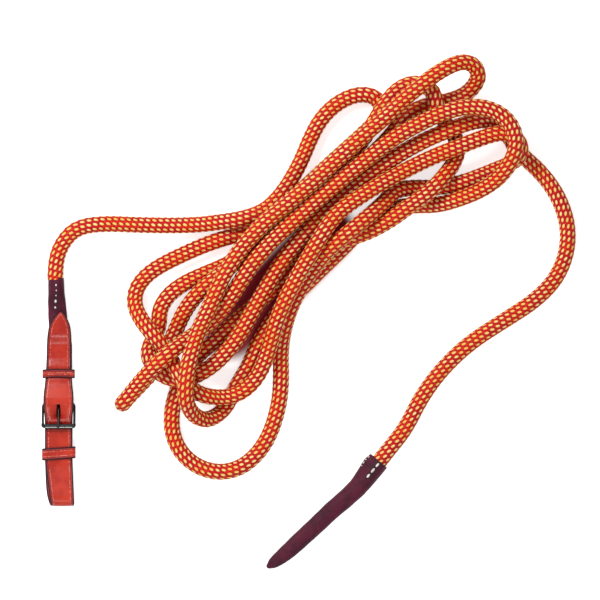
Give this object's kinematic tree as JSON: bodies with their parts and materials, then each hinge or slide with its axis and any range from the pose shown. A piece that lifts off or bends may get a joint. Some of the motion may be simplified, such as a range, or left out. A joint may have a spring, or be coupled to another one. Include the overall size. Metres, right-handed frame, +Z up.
{
  "type": "training leash",
  "caption": "Long braided rope leash lying in a loose hank, with a buckled leather strap loop at one end and a stitched leather tip at the other.",
  "frame": {"origin": "on the floor under the buckle's front bar, at the middle of the strap's width, on the strap's underside", "axes": "+Z up from the floor, +Y along the strap from its bottom fold towards the rope, +X across the strap towards the hank"},
  "size_m": [0.3882, 0.3734, 0.0501],
  "materials": {
    "rope": "braided, orange-red with yellow picks",
    "strap": "smooth, semi-gloss",
    "dark_leather": "matt, dark burgundy",
    "black_metal": "blackened, worn bright on the high places",
    "thread": "waxed sewing thread"
  },
  "bodies": {
    "leash": {"rope": "rope", "strap": "strap", "chape": "strap", "buckle_frame": "black_metal", "keeper_fixed": "strap", "sleeve": "dark_leather", "sleeve_stitches": "thread", "tip_cover": "dark_leather", "tip_stitches": "thread"},
    "prong": {"buckle_prong": "black_metal"},
    "roller": {"buckle_roller": "black_metal"},
    "keeper": {"keeper_sliding": "strap"}
  },
  "joints": [
    {"name": "prong_hinge", "type": "hinge", "parent": "leash", "child": "prong", "pos_m": [0, 0.0175, 0.0061], "axis": [-1, 0, 0], "range_deg": [0, 25]},
    {"name": "roller_spin", "type": "hinge", "parent": "leash", "child": "roller", "pos_m": [0, 0.00054, 0.00949], "axis": [1, 0, 0], "continuous": true},
    {"name": "keeper_slide", "type": "slide", "parent": "leash", "child": "keeper", "axis": [0, 1, 0], "range_m": [-0.002, 0.002]}
  ]
}
